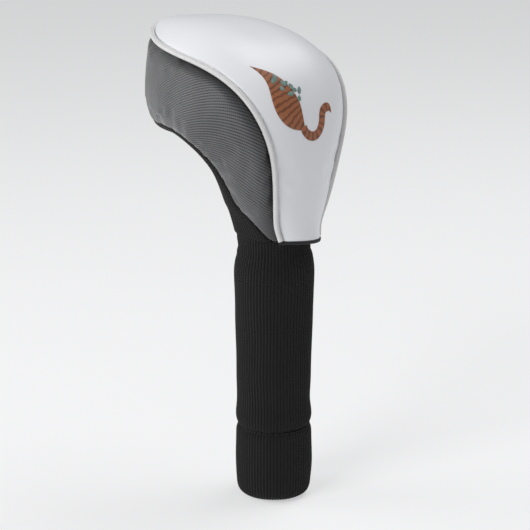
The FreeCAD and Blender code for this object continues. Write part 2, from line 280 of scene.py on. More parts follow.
def resample(field, rows, columns):
    """A coarse grid of values made finer with smooth curves both ways."""
    n, m, k = field.shape
    tall = spline(np.arange(n, dtype=float), field.reshape(n, -1), np.linspace(0, n - 1, rows))[0]
    tall = tall.reshape(rows, m, k).transpose(1, 0, 2).reshape(m, -1)
    wide = spline(np.arange(m, dtype=float), tall, np.linspace(0, m - 1, columns))[0]
    return wide.reshape(columns, rows, k).transpose(1, 0, 2)


def new_object(name, data):
    """An object for a mesh, lamp or camera, linked to the scene."""
    made = bpy.data.objects.new(name, data)
    bpy.context.scene.collection.objects.link(made)
    return made


# ------------------------------------------------------------------ cloth


CLOTH_FRAMES = 20


def closed_pillow(name, outer, inner):
    """A closed mesh of two grids joined round their rims, with everything but the face pinned."""
    index, top = grid_faces(*outer.shape[:2])
    count = index.size
    rim = np.concatenate([index[0, :], index[1:, -1], index[-1, -2::-1], index[-2:0:-1, 0]])
    after = np.roll(rim, -1)
    sides = np.stack([rim, rim + count, after + count, after], axis=-1)
    faces = np.concatenate([top, top[:, ::-1] + count, sides])
    mesh = bpy.data.meshes.new(name)
    points = np.concatenate([outer.reshape(-1, 3), inner.reshape(-1, 3)]) * MM
    mesh.from_pydata(points.tolist(), [], faces.tolist())
    mesh.update()
    pillow = new_object(name, mesh)
    pinned = pillow.vertex_groups.new(name="pinned")
    held = np.unique(np.concatenate([rim, np.arange(count, 2 * count)]))
    pinned.add(held.tolist(), 1.0, "REPLACE")
    return pillow


def puffed(grid, thickness, loosen, cap):
    """How the face of a padded panel moves when its filling pushes it out, from cloth simulation."""
    facing = normals(grid)
    pillow = closed_pillow("pillow", grid, grid - facing * thickness)
    cloth = pillow.modifiers.new("Cloth", "CLOTH")
    settings = cloth.settings
    settings.quality = 6
    settings.mass = 0.15
    settings.tension_stiffness = 12.0
    settings.compression_stiffness = 8.0
    settings.shear_stiffness = 4.0
    settings.bending_stiffness = 0.35
    settings.use_pressure = True
    settings.uniform_pressure_force = 4.0
    settings.shrink_min = -loosen
    settings.vertex_group_mass = "pinned"
    settings.effector_weights.gravity = 0.0
    cloth.collision_settings.use_collision = False
    for number in range(1, CLOTH_FRAMES + 1):
        bpy.context.scene.frame_set(number)
    shaped = pillow.evaluated_get(bpy.context.evaluated_depsgraph_get())
    points = np.array([vertex.co for vertex in shaped.data.vertices])[:grid.size // 3]
    move = points.reshape(grid.shape) / MM - grid
    bpy.data.objects.remove(pillow)
    bpy.context.scene.frame_set(1)
    length = np.linalg.norm(move, axis=2, keepdims=True)
    return move * np.minimum(1.0, cap / np.maximum(length, 1e-9))


# ------------------------------------------------------------------ materials


RIB_PITCH = 2.41    # millimetres from rib to rib of the knit


def add_node(tree, kind, options=(), **sockets):
    """A shader node with its options and its inputs set; an input may be another node's output."""
    made = tree.nodes.new("ShaderNode" + kind)
    for key, value in dict(options).items():
        setattr(made, key, value)
    for key, value in sockets.items():
        put(tree, made.inputs[key.replace("_", " ")], value)
    return made


def put(tree, socket, value):
    """Link a socket to another node's output, or give it a plain value."""
    if isinstance(value, bpy.types.NodeSocket):
        tree.links.new(value, socket)
    else:
        socket.default_value = value


def maths(tree, operation, first, second=0.0):
    """One arithmetic step on two values."""
    made = tree.nodes.new("ShaderNodeMath")
    made.operation = operation
    put(tree, made.inputs[0], first)
    put(tree, made.inputs[1], second)
    return made.outputs[0]


def blend_colours(tree, share, first, second):
    """Colour between two colours."""
    made = tree.nodes.new("ShaderNodeMix")
    made.data_type = "RGBA"
    put(tree, made.inputs[0], share)
    put(tree, made.inputs[6], (*first, 1.0) if isinstance(first, tuple) else first)
    put(tree, made.inputs[7], (*second, 1.0) if isinstance(second, tuple) else second)
    return made.outputs[2]


def ripple(tree, coordinate, period):
    """Wave between 0 and 1 along a coordinate in metres."""
    turn = maths(tree, "MULTIPLY", coordinate, 2 * math.pi / period)
    wave = maths(tree, "SINE", turn)
    return maths(tree, "ADD", maths(tree, "MULTIPLY", wave, 0.5), 0.5)


def speckle(tree, scale, detail=3.0):
    """Noise between 0 and 1 over the object's own metres."""
    where = add_node(tree, "TexCoord").outputs["Object"]
    return add_node(tree, "TexNoise", Vector=where, Scale=scale, Detail=detail).outputs[0]


def layer_parts(tree, layer):
    """The two values that a layer of a sheet holds at each point."""
    place = add_node(tree, "UVMap", {"uv_map": layer}).outputs[0]
    parts = add_node(tree, "SeparateXYZ", Vector=place)
    return parts.outputs[0], parts.outputs[1]


def weave_axes(tree):
    """Lengths along and across a panel, in metres."""
    return layer_parts(tree, "lengths")


def surface(name, build):
    """A material whose colour, roughness, relief and sheen come from build(tree)."""
    made = bpy.data.materials.new(name)
    made.use_nodes = True
    tree = made.node_tree
    shader = tree.nodes["Principled BSDF"]
    look = build(tree)
    relief = look.pop("relief", None)
    if relief:
        height, distance, strength = relief
        bump = add_node(tree, "Bump", Height=height, Distance=distance, Strength=strength)
        tree.links.new(bump.outputs[0], shader.inputs["Normal"])
    for key, value in look.items():
        put(tree, shader.inputs[key], (*value, 1.0) if isinstance(value, tuple) else value)
    return made


def white_leather(tree):
    """Smooth synthetic leather: a satin white with a very fine grain."""
    cloud = speckle(tree, 16.0, 2.0)
    grain = speckle(tree, 1500.0, 2.0)
    return {
        "Base Color": blend_colours(tree, cloud, (0.76, 0.765, 0.80), (0.84, 0.845, 0.87)),
        "Roughness": maths(tree, "ADD", maths(tree, "MULTIPLY", grain, 0.10), 0.33),
        "Specular IOR Level": 0.45,
        "Coat Weight": 0.10,
        "Coat Roughness": 0.35,
        "relief": (grain, 0.0001, 0.25),
    }


def piping_leather(tree):
    """The same skin pulled tight over the cord, a little greyer, in faint clouds."""
    cloud = speckle(tree, 220.0, 2.0)
    return {
        "Base Color": blend_colours(tree, cloud, (0.58, 0.575, 0.575), (0.70, 0.695, 0.695)),
        "Roughness": 0.42,
        "relief": (speckle(tree, 2600.0), 0.0001, 0.3),
    }


def charcoal_nylon(tree):
    """Twill nylon: fine diagonal threads with a soft sheen; its colour and sheen are darkened by painted
    shade beside the piping.
    """
    along, across = weave_axes(tree)
    twill = ripple(tree, maths(tree, "ADD", along, across), 0.0030)
    cross = ripple(tree, maths(tree, "SUBTRACT", along, across), 0.0017)
    height = maths(tree, "ADD", maths(tree, "MULTIPLY", twill, 0.75), maths(tree, "MULTIPLY", cross, 0.25))
    cloud = maths(tree, "MULTIPLY", speckle(tree, 30.0), 0.4)
    share = maths(tree, "ADD", maths(tree, "MULTIPLY", height, 0.8), maths(tree, "SUBTRACT", cloud, 0.15))
    # painted shade: colour and sheen are darkened where the band rolls in under the piping
    painted_fold_shade, _ = layer_parts(tree, "shade")
    lit = maths(tree, "SUBTRACT", 1.0, maths(tree, "MULTIPLY", painted_fold_shade, 0.75))
    share = maths(tree, "MULTIPLY", share, lit)
    return {
        "Base Color": blend_colours(tree, share, (0.006, 0.0062, 0.007), (0.165, 0.167, 0.172)),
        "Roughness": 0.5,
        "Sheen Weight": maths(tree, "MULTIPLY", lit, 0.3),
        "Sheen Roughness": 0.4,
        "relief": (height, 0.0003, 0.55),
    }


def black_knit(tree):
    """Rib knit: rows of small V-shaped stitches along each rib."""
    along, across = weave_axes(tree)
    rib_place = maths(tree, "FRACT", maths(tree, "DIVIDE", across, RIB_PITCH * MM))
    slant = maths(tree, "ABSOLUTE", maths(tree, "SUBTRACT", rib_place, 0.5))
    stitch = ripple(tree, maths(tree, "ADD", along, maths(tree, "MULTIPLY", slant, 0.0022)), 0.0019)
    fuzz = speckle(tree, 900.0)
    height = maths(tree, "ADD", stitch, maths(tree, "MULTIPLY", fuzz, 0.6))
    return {
        "Base Color": blend_colours(tree, maths(tree, "MULTIPLY", height, 0.6),
                                    (0.0012, 0.0012, 0.0015), (0.0130, 0.0130, 0.0143)),
        "Roughness": 0.85,
        "Specular IOR Level": 0.3,
        "Sheen Weight": 0.05,
        "Sheen Roughness": 0.5,
        "relief": (height, 0.0004, 0.6),
    }


def black_tape(tree):
    """Narrow woven tape."""
    along, across = weave_axes(tree)
    threads = maths(tree, "MULTIPLY", ripple(tree, along, 0.0009), ripple(tree, across, 0.0009))
    return {
        "Base Color": blend_colours(tree, threads, (0.005, 0.005, 0.006), (0.018, 0.018, 0.019)),
        "Roughness": 0.7,
        "relief": (threads, 0.0002, 0.5),
    }


def grey_fleece(tree):
    """Brushed lining."""
    fuzz = speckle(tree, 700.0, 6.0)
    return {
        "Base Color": blend_colours(tree, fuzz, (0.16, 0.16, 0.17), (0.36, 0.36, 0.38)),
        "Roughness": 0.95,
        "Sheen Weight": 0.5,
        "relief": (fuzz, 0.0008, 0.8),
    }


def covered_elastic(tree):
    """Rubber threads under a ribbed cover."""
    parts = add_node(tree, "SeparateXYZ", Vector=add_node(tree, "TexCoord").outputs["Object"])
    threads = ripple(tree, parts.outputs[2], 0.0012)
    return {
        "Base Color": blend_colours(tree, threads, (0.05, 0.05, 0.055), (0.17, 0.17, 0.18)),
        "Roughness": 0.7,
        "relief": (threads, 0.0003, 0.6),
    }


def black_thread(tree):
    """Polyester sewing thread."""
    fuzz = speckle(tree, 3000.0)
    return {
        "Base Color": blend_colours(tree, fuzz, (0.003, 0.003, 0.0035), (0.012, 0.012, 0.013)),
        "Roughness": 0.75,
        "relief": (fuzz, 0.0001, 0.4),
    }


def rust_print(tree):
    """Rust-brown print with darker stripes across it."""
    along, _ = weave_axes(tree)
    wander = maths(tree, "MULTIPLY", speckle(tree, 260.0), 0.004)
    stripe = ripple(tree, maths(tree, "ADD", along, wander), 0.0045)
    stripe = maths(tree, "POWER", stripe, 2.5)
    return {
        "Base Color": blend_colours(tree, stripe, (0.33, 0.115, 0.045), (0.13, 0.040, 0.018)),
        "Roughness": 0.5,
        "relief": (speckle(tree, 1500.0), 0.0001, 0.2),
    }


def green_print(tree):
    """Dull teal-green print with a paler bloom."""
    cloud = speckle(tree, 420.0)
    return {
        "Base Color": blend_colours(tree, cloud, (0.05, 0.13, 0.11), (0.26, 0.38, 0.33)),
        "Roughness": 0.5,
        "relief": (speckle(tree, 1500.0), 0.0001, 0.2),
    }


def pale_floor(tree):
    """Matt pale studio paper."""
    cloud = speckle(tree, 3.0)
    return {
        "Base Color": blend_colours(tree, cloud, (0.41, 0.41, 0.415), (0.43, 0.43, 0.435)),
        "Roughness": 0.9,
        "Emission Color": (0.97, 0.975, 0.98),
        "Emission Strength": 0.53,
    }


# ------------------------------------------------------------------ sheets


def sheet(name, grid, material, thickness=0.0, body=None, replaces=(), shade=None):
    """A smooth quad sheet from a grid in millimetres, given a thickness inwards if asked.

    A painted shade between 0 and 1 at each point can be kept for the material.
    """
    rows, columns = grid.shape[:2]
    _, quads = grid_faces(rows, columns)
    middle = (rows // 2, columns // 2)
    first = np.cross(np.gradient(grid, axis=1), np.gradient(grid, axis=0))[middle]
    if np.dot(first, normals(grid)[middle]) < 0:
        quads = quads[:, ::-1]
    mesh = bpy.data.meshes.new(name)
    mesh.from_pydata((grid.reshape(-1, 3) * MM).tolist(), [], quads.tolist())
    mesh.update()
    lengths = flat_map(grid).reshape(-1, 2) * MM
    corners = np.zeros(len(mesh.loops), dtype=np.int32)
    mesh.loops.foreach_get("vertex_index", corners)
    layer = mesh.uv_layers.new(name="lengths")
    layer.data.foreach_set("uv", lengths[corners].astype(np.float32).ravel())
    if shade is not None:
        pairs = np.repeat(shade.reshape(-1, 1), 2, axis=1)
        layer = mesh.uv_layers.new(name="shade")
        layer.data.foreach_set("uv", pairs[corners].astype(np.float32).ravel())
    return finished(name, mesh, material, thickness, body, replaces)


def finished(name, mesh, material, thickness, body, replaces):
    """The object for a mesh: joined edges, smooth shading, material, thickness, place in the frame."""
    join_doubles(mesh)
    mesh.polygons.foreach_set("use_smooth", np.ones(len(mesh.polygons), dtype=bool))
    mesh.materials.append(material)
    piece = new_object(name, mesh)
    if thickness:
        solid = piece.modifiers.new("thickness", "SOLIDIFY")
        solid.thickness = thickness * MM
        solid.offset = -1.0
    if body:
        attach(piece, body)
    if replaces:
        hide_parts(*replaces)
    return piece


def join_doubles(mesh):
    """Join points that fall on each other, such as the two sides of a closed tube."""
    work = bmesh.new()
    work.from_mesh(mesh)
    bmesh.ops.remove_doubles(work, verts=work.verts, dist=0.00001)
    bmesh.ops.dissolve_degenerate(work, edges=work.edges, dist=0.000001)
    work.to_mesh(mesh)
    work.free()


# ------------------------------------------------------------------ padded shell


HEM = 199.5             # height of the lower hem of the shell
FLARE_ANGLE = 42.0      # direction of the far corner of the hem, round the shaft from +X
FLARE_SPREAD = 26.0
FLARE_HEIGHT = 9.0
FLARE_REACH = 0.9
DIP_START = -35.0       # direction from which the hem hangs lower and lower towards that corner
HEM_DIP = 4.0

BODY_ROWS = 110
TOE_ROWS = 70
COARSE_BODY_ROWS = 34   # rows of the grids for the cloth simulation
COARSE_TOE_ROWS = 20

SKIN_THICKNESS = 1.2
KNIT_THICKNESS = 2.0
STIFF_HEM = 4.0         # height of the hem that keeps its shape when a panel is puffed
STIFF_FADE = 20.0

# folds of each lower edge: how far a row hangs below the neck section, and its lift
HEM_FOLDS = ((0.9, -1.6), (0.7, -0.4))
GUSSET_FOLDS = ((1.6, -3.0), (0.9, -1.0))
UNDERSIDE_FOLDS = ((2.8, -5.2), (2.2, -3.6), (1.3, -1.6), (0.6, -0.4))
LINING_FOLDS = ((0.4, -0.4),)

SEAM_TUCK = 0.9         # how far the white panel stops short of the piping seam
SEAM_ALLOWANCE = 2.0    # how far the gusset runs on under the white panel
UNDERSIDE_GAP = 0.3     # how far gusset and knit each stop short of the seam between them


def with_skirt(place, squeeze, start, end, columns, lift, folds):
    """A panel's grid with its lower edge folded: each of the folds is a drop and a lift at the neck."""
    grid = band(place, squeeze, start, end, columns, lift)
    rows = []
    for drop, fold_lift in folds:
        row = band(place[:1], squeeze[:1], start[:1], end[:1], columns, lift + fold_lift)
        rows.append(row - np.array([0.0, 0.0, drop]))
    return np.concatenate(rows + [grid])


def away_from_shaft(points):
    """Unit directions from the shaft's axis out to each point."""
    return unit(points * np.array([1.0, 1.0, 0.0]))


def flare(points):
    """The far corner of the hem stands off the sock and hangs lower, less and less further up."""
    direction = np.degrees(np.arctan2(points[..., 1], points[..., 0]))
    near_corner = np.exp(-((direction - FLARE_ANGLE) / FLARE_SPREAD) ** 2)
    low = np.exp(-np.clip(points[..., 2] - HEM, 0.0, None) / FLARE_HEIGHT)
    moved = points + away_from_shaft(points) * (FLARE_REACH * near_corner * low)[..., None]
    turned = np.clip((direction - DIP_START) / (FLARE_ANGLE - DIP_START), 0.0, 1.0)
    moved[..., 2] -= HEM_DIP * turned * turned * (3.0 - 2.0 * turned) * low
    return moved


def top_outline(body_rows, toe_rows, lift=0.0):
    """Rows of the top panel and its two side seams."""
    place, squeeze = stations_along(body_rows, toe_rows, lift)
    start = shifted(place, squeeze, PIPING_SEAM, SEAM_TUCK)
    return place, squeeze, start, 180.0 - start


def with_puff(fine, coarse, thickness, loosen, cap):
    """The fine grid moved the way the coarse one moves in the cloth simulation, less by the neck."""
    free = np.clip((coarse[..., 2:] - HEM - STIFF_HEM) / STIFF_FADE, 0.0, 1.0)
    move = puffed(coarse, thickness, loosen, cap) * free
    return fine + resample(move, *fine.shape[:2])


def make_top_panel(material):
    """White teardrop panel: padded, smooth, its edges rolled down to the piping."""
    outline = top_outline(BODY_ROWS, TOE_ROWS)
    fine = with_skirt(*outline, columns=141, lift=0.0, folds=HEM_FOLDS)
    outline = top_outline(COARSE_BODY_ROWS, COARSE_TOE_ROWS)
    coarse = with_skirt(*outline, columns=35, lift=0.0, folds=HEM_FOLDS)
    grid = with_puff(fine, coarse, thickness=5.3, loosen=0.002, cap=1.2)
    height = tuck(edge_distance(grid), depth=1.5, width=1.7) + 0.22 * rumple(grid, 38.0, 1)
    grid = flare(grid + normals(grid) * height[..., None])
    return sheet("top_panel_skin", grid, material, SKIN_THICKNESS, "head",
                 ("top_panel", "top_panel_foam"))


def gusset_outline(body_rows, toe_rows, lift=0.0):
    """Rows of one side of the gusset and its two seams."""
    place, squeeze = stations_along(body_rows, toe_rows, lift)
    start = shifted(place, squeeze, UNDERSIDE_SEAM, UNDERSIDE_GAP)
    end = shifted(place, squeeze, PIPING_SEAM, SEAM_ALLOWANCE)
    return place, squeeze, start, np.maximum(end, start + 1.0)


def both_sides(grid):
    """A side band run from the near neck round the toe to the far neck."""
    return np.concatenate([grid, far_side(grid)[-2::-1]])


SHOULDER = 10.0         # distance from the piping to the crest of the padding beside it
SHADE_BAND_WIDTH = 8.0        # width of the painted shade along the crease beside the piping
HEEL_X = -5.0           # the padding is fullest in the bend of the heel
HEEL_SPREAD = 50.0
THIN_BELOW = 206.0      # height from which the band's relief grows to its full depth
THINNING = 25.0


def gusset_relief(grid, to_piping, heel_side):
    """Height of the band's surface: tucked in at its seams, full beside the piping, wrinkled."""
    full = np.clip((grid[..., 2] - THIN_BELOW) / THINNING, 0.2, 1.0)
    crest = 0.8 * np.exp(-((to_piping - SHOULDER) / 4.5) ** 2)
    rolled = tuck(to_piping, 2.0, 3.2) + (crest + tuck(to_piping, 2.4, 5.5)) * heel_side
    upright = rumple(grid * np.array([1.0, 1.0, 0.45]), 9.0, 3)
    upright = upright * np.clip(edge_distance(grid) / 9.0, 0.0, 1.0)
    creased = np.exp(-((to_piping - SHOULDER) / 8.0) ** 2) * rumple(grid, 11.0, 2)
    wrinkles = 0.25 * upright + 0.4 * rumple(grid, 26.0, 4) + 0.55 * creased
    return tuck(run_lengths(grid, 1), 1.7, 1.8) + (rolled + wrinkles) * full


def make_side_gusset(material):
    """Charcoal band round the sides and the toe: thinly padded, with soft creases by its seams, and
    painted shade beside the piping.
    """
    outline = gusset_outline(BODY_ROWS, TOE_ROWS)
    fine = both_sides(with_skirt(*outline, columns=91, lift=0.0, folds=GUSSET_FOLDS))
    outline = gusset_outline(COARSE_BODY_ROWS, COARSE_TOE_ROWS)
    coarse = both_sides(with_skirt(*outline, columns=23, lift=0.0, folds=GUSSET_FOLDS))
    grid = with_puff(fine, coarse, thickness=4.0, loosen=0.012, cap=1.0)
    across = run_lengths(grid, 1)
    to_piping = np.clip(across[:, -1:] - across - SEAM_ALLOWANCE, 0.0, None)
    heel_side = np.exp(-((grid[..., 0] - HEEL_X) / HEEL_SPREAD) ** 2)
    height = gusset_relief(grid, to_piping, heel_side)
    # painted shade for the nylon: darkest at the piping, fuller on the heel side
    painted_fold_shade = np.exp(-(to_piping / SHADE_BAND_WIDTH) ** 2) * np.clip(0.25 + heel_side, 0.0, 1.0)
    return sheet("side_gusset_skin", grid + normals(grid) * height[..., None], material,
                 SKIN_THICKNESS, "head", ("side_gusset", "side_gusset_foam"), painted_fold_shade)


def underside_outline(body_rows, toe_rows, lift=0.0):
    """Rows of the sole side between the two underside seams, round by the keel."""
    place, squeeze = stations_along(body_rows, toe_rows, lift)
    start = shifted(place, squeeze, UNDERSIDE_SEAM, -UNDERSIDE_GAP)
    return place, squeeze, start, -180.0 - start


def make_underside(material):
    """Ribbed knit that closes the sole side and gathers in to the sock."""
    outline = underside_outline(body_rows=130, toe_rows=50)
    grid = with_skirt(*outline, columns=331, lift=0.0, folds=UNDERSIDE_FOLDS)
    ribs = rib(flat_map(grid)[..., 1] / RIB_PITCH)
    seam = tuck(edge_distance(grid), depth=1.3, width=1.4)
    height = 0.75 * (ribs - 1.0) + seam + 0.5 * rumple(grid, 22.0, 5)
    return sheet("underside_ribbed_knit", grid + normals(grid) * height[..., None], material,
                 KNIT_THICKNESS, "head", ("underside_knit",))


LINING_ROWS = (40, 24)      # rows along the body and round the toe
LINING_LIFT = -5.6          # lifts below zero lie inside the shell
SOLE_LINING_LIFT = -2.5
LINING_THICKNESS = 1.5
TAPE_LIFT = -7.3
TAPE_HALF_WIDTH = 3.0
TAPE_THICKNESS = 0.7
TAPE_END = 201.0            # height at which the tape stops, just above the hem


def make_linings(material):
    """Fleece inside each panel."""
    outline = top_outline(*LINING_ROWS, LINING_LIFT)
    top = with_skirt(*outline, columns=49, lift=LINING_LIFT, folds=LINING_FOLDS)
    outline = gusset_outline(*LINING_ROWS, LINING_LIFT)
    side = with_skirt(*outline, columns=29, lift=LINING_LIFT, folds=LINING_FOLDS)
    outline = underside_outline(*LINING_ROWS, SOLE_LINING_LIFT)
    sole = with_skirt(*outline, columns=49, lift=SOLE_LINING_LIFT, folds=LINING_FOLDS)
    named = (("top_panel_fleece", top, "top_panel_lining"),
             ("side_gusset_fleece", both_sides(side), "side_gusset_lining"),
             ("underside_fleece", sole, "underside_lining"))
    for number, (name, grid, node) in enumerate(named):
        soft = grid + normals(grid) * (0.3 * rumple(grid, 5.0, 10 + number))[..., None]
        sheet(name, soft, material, LINING_THICKNESS, "head", (node,))


def make_tape(material):
    """Tape inside, over the seam between gusset and knit."""
    place, squeeze = stations_along(*LINING_ROWS, TAPE_LIFT)
    seam = seam_angle(place, UNDERSIDE_SEAM)
    half = shifted(place, squeeze, UNDERSIDE_SEAM, TAPE_HALF_WIDTH) - seam
    strip = both_sides(band(place, squeeze, seam - half, seam + half, 7, TAPE_LIFT))
    strip = strip[strip[:, :, 2].min(axis=1) > TAPE_END]
    sheet("underside_tape", strip, material, TAPE_THICKNESS, "head",
          ("underside_seam_tape",))


# ------------------------------------------------------------------ piping and binding


def frames_along(path):
    """Two unit directions across a path at each point, turned as little as possible.

    The path sets out across the X axis.
    """
    along = unit(np.gradient(path, axis=0))
    side = np.cross(along[0], np.array([1.0, 0.0, 0.0]))
    sides = []
    for direction in along:
        side = unit(side - direction * np.dot(side, direction))
        sides.append(side)
    sides = np.array(sides)
    return sides, np.cross(along, sides)


def with_closed_ends(path, grid):
    """A grid of rings round a path, with the end rings drawn together to points."""
    first, last = [np.repeat(path[i][None, None], grid.shape[1], axis=1) for i in (0, -1)]
    return np.concatenate([first, grid, last])


def tube(path, radius, steps):
    """Grid of a tube round a path, whose radius may change along it; its ends close to points."""
    first, second = frames_along(path)
    turn = np.linspace(0.0, 2 * math.pi, steps + 1)
    ring = first[:, None] * np.cos(turn)[None, :, None] + second[:, None] * np.sin(turn)[None, :, None]
    return with_closed_ends(path, path[:, None] + ring * radius.reshape(-1, 1, 1))


def even_path(points, step):
    """A path through points with evenly spaced points of its own, and the length run at each."""
    length = run_lengths(points[None], 1)[0]
    wanted = np.linspace(0.0, length[-1], int(length[-1] / step) + 1)
    return along_line(points, length, wanted), wanted


PIPING_LIFT = 0.5
PIPING_RADIUS = 1.9
PIPING_STEP = 0.31
GATHER_PITCH = 1.25
GATHER_HEIGHT = 0.075
FAR_SINK = 0.045            # share of its distance from the shaft by which the far piping sinks
FAR_SINK_HEIGHT = 22.0      # height above the hem over which that fades


def make_piping(material):
    """Piping round the white panel; its skin gathers into fine ridges across the cord."""
    place, squeeze = stations_along(150, 80, PIPING_LIFT)
    near = shell(place, squeeze, seam_angle(place, PIPING_SEAM)[:, None], PIPING_LIFT)[:, 0]
    far = far_side(near)[-2::-1]
    far[:, :2] *= 1.0 - FAR_SINK * np.exp(-(far[:, 2:] - HEM) / FAR_SINK_HEIGHT)
    path, run = even_path(flare(np.concatenate([near, far])), PIPING_STEP)
    uneven = 0.5 * np.sin(run / 7.0) + 0.4 * np.sin(run / 3.1)
    ridges = GATHER_HEIGHT * np.cos(2 * math.pi * (run + uneven) / GATHER_PITCH)
    radius = PIPING_RADIUS + ridges + 0.04 * np.sin(run / 11.0)
    return sheet("piping", tube(path, radius, 16), material, 0.0, "head",
                 ("piping_cover", "piping_cord"))


BINDING_HEIGHT = 198.3
BINDING_LIFT = -0.35
BINDING_REACH = 3.0         # degrees by which the tape runs past the piping seams
BINDING_HALF_THICKNESS = 0.9
BINDING_HALF_DEPTH = 1.25
BINDING_FULLNESS = 0.6      # power of the rounded outline; 1 is an ellipse, 0 a box


def rounded(wave):
    """A sine or cosine made fuller, for the outline of the folded tape."""
    return np.sign(wave) * np.abs(wave) ** BINDING_FULLNESS


def make_hem_binding(material):
    """Black tape folded round the lower hem of the white panel."""
    start = seam_angle(np.zeros(1), PIPING_SEAM)[0] - BINDING_REACH
    angle = np.linspace(start, 180.0 - start, 121)[None]
    line = shell(np.zeros(1), np.ones(1), angle, BINDING_LIFT)[0]
    line[:, 2] = BINDING_HEIGHT
    line = flare(line)
    away = away_from_shaft(line)[:, None]
    turn = np.linspace(0.0, 2 * math.pi, 25)
    grid = line[:, None] + away * (BINDING_HALF_THICKNESS * rounded(np.cos(turn)))[None, :, None]
    grid[..., 2] += BINDING_HALF_DEPTH * rounded(np.sin(turn))
    grid += 0.12 * rumple(grid, 6.0, 6)[..., None] * away
    return sheet("hem_binding_tape", with_closed_ends(line, grid), material, 0.0, "head",
                 ("hem_binding",))


# ------------------------------------------------------------------ sock and cuff


# height and radius of the sock's rib crests
SOCK_PROFILE = np.array([
    (53.9, 25.7), (55.5, 26.6), (68.0, 27.3), (90.0, 27.2), (115.0, 27.6), (142.0, 28.3),
    (166.0, 29.2), (178.0, 28.2), (189.0, 26.2), (196.0, 26.7), (203.0, 26.2),
])
# radius and height of the cuff's rib crests, from its top edge down, round the mouth and up inside
CUFF_PROFILE = np.array([
    (25.2, 53.7), (26.6, 52.2), (27.7, 46.0), (28.1, 26.0), (27.3, 9.0), (25.8, 3.0), (23.0, 0.6),
    (20.6, 0.5), (20.3, 2.6), (21.6, 7.0), (22.3, 14.0), (22.4, 32.0), (22.6, 50.0),
])
RIBS = 72
STEPS_PER_RIB = 8
ZONE_EDGES = (53.9, 131.0, 166.0, 203.0)    # heights at which the sock's three lengths meet
WAIST = 187.0           # height at which the knit is gathered most
WAIST_SPREAD = 8.0
SLACK_LOW = 56.0        # heights between which the knit hangs loose
SLACK_HIGH = 178.0
SLACK_FADE = 15.0
RIB_HEIGHT = 0.85
SOCK_THICKNESS = 1.9
SOCK_ROW_STEP = 1.1
ELASTIC_THREADS = 8
ELASTIC_THICKNESS = 0.9


def round_the_sock():
    """Angles round the sock, a few steps to each rib, and the rib height at each."""
    turn = np.linspace(0.0, 2 * math.pi, RIBS * STEPS_PER_RIB + 1)
    return turn, rib(turn * RIBS / (2 * math.pi))


def revolved(radius, turn, height):
    """Grid of points round the shaft from a radius, an angle and a height at each."""
    return np.stack(np.broadcast_arrays(radius * np.cos(turn), radius * np.sin(turn), height), axis=-1)


def sock_rows(low, high):
    """Grid of the sock between two heights."""
    turn, ribs = round_the_sock()
    heights = np.linspace(low, high, int((high - low) / SOCK_ROW_STEP) + 1)[:, None]
    radius = spline(SOCK_PROFILE[:, 0], SOCK_PROFILE[:, 1:], heights[:, 0])[0]
    wander = 0.010 * np.sin(heights / 23.0) + 0.006 * np.sin(heights / 9.0)
    grid = revolved(radius, turn + wander, heights)
    gathered = np.exp(-((heights - WAIST) / WAIST_SPREAD) ** 2)
    slack = (np.clip((SLACK_HIGH - heights) / SLACK_FADE, 0.0, 1.0)
             * np.clip((heights - SLACK_LOW) / SLACK_FADE, 0.0, 1.0))
    soft = (0.55 * rumple(grid, 24.0, 7) + slack * rumple(grid, 34.0, 11)
            + 0.7 * gathered * rumple(grid * np.array([1.0, 1.0, 3.0]), 14.0, 8))
    height = RIB_HEIGHT * (ribs[None] - 1.0) + soft
    return grid + away_from_shaft(grid) * height[..., None]


def blend_down(piece):
    """Bake a piece's transform into its mesh."""
    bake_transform(piece)


def make_sock(material):
    """The long ribbed tube, in three lengths; the lowest is attached to the sock's body."""
    grids = [sock_rows(low, high) for low, high in zip(ZONE_EDGES, ZONE_EDGES[1:])]
    replaced = ("knit_sock",)
    lower = sheet("sock_lower", grids[0], material, SOCK_THICKNESS, "sock", replaced)
    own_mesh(lower)
    upper = sheet("sock_upper", grids[1], material, SOCK_THICKNESS, None, replaced)
    blend_down(upper)
    neck = sheet("sock_neck", grids[2], material, SOCK_THICKNESS, None, replaced)
    blend_down(neck)


def make_neck_elastic(material):
    """Elastic ring inside the neck, under the knit round it."""
    low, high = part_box("neck_elastic")
    share = np.linspace(0.0, 1.0, 33)[:, None]
    radius = high.x / MM - 0.15 * (1.0 - rib(share * ELASTIC_THREADS))
    grid = revolved(radius, np.linspace(0.0, 2 * math.pi, 181), (low.z + (high.z - low.z) * share) / MM)
    ring = sheet("neck_elastic_ring", grid, material, ELASTIC_THICKNESS, None, ("neck_elastic",))
    blend_down(ring)


def make_cuff(material):
    """The end of the sock: rolled in at the mouth and turned up inside, in one closed form."""
    turn, ribs = round_the_sock()
    knots = run_lengths(CUFF_PROFILE[None], 1)[0]
    wanted = np.linspace(0.0, knots[-1], 110)
    profile, direction = spline(knots, CUFF_PROFILE, wanted)
    outward = unit(np.stack([-direction[:, 1], direction[:, 0]], axis=1))
    rolled, mouth, inside = knots[[4, 7, 8]]
    depth = np.interp(wanted, [0.0, 3.0, rolled, mouth, knots[-1]], [0.4, 0.85, 0.95, 0.9, 0.5])
    height = depth[:, None] * (ribs[None] - 1.0)
    radius = profile[:, 0:1] + outward[:, 0:1] * height
    level = profile[:, 1:2] + outward[:, 1:2] * height
    grid = revolved(radius, turn, level)
    soft = 0.35 * rumple(grid, 20.0, 9) * np.where(wanted < inside, 1.0, 0.3)[:, None]
    grid = revolved(radius + soft, turn, level)
    grid = np.concatenate([grid, grid[:1]])
    return sheet("cuff_ribbed", grid, material, 0.0, "cuff", ("sock_cuff", "cuff_hem"))


# ------------------------------------------------------------------ motif on the white panel


MOTIF_PLACE = 0.47      # place along the cover and angle in its section
MOTIF_ANGLE = 78.0
PRINT_LIFT = 0.16
PRINT_THICKNESS = 0.12
SPRIG_LIFT = 0.12
SPRIG_THICKNESS = 0.1

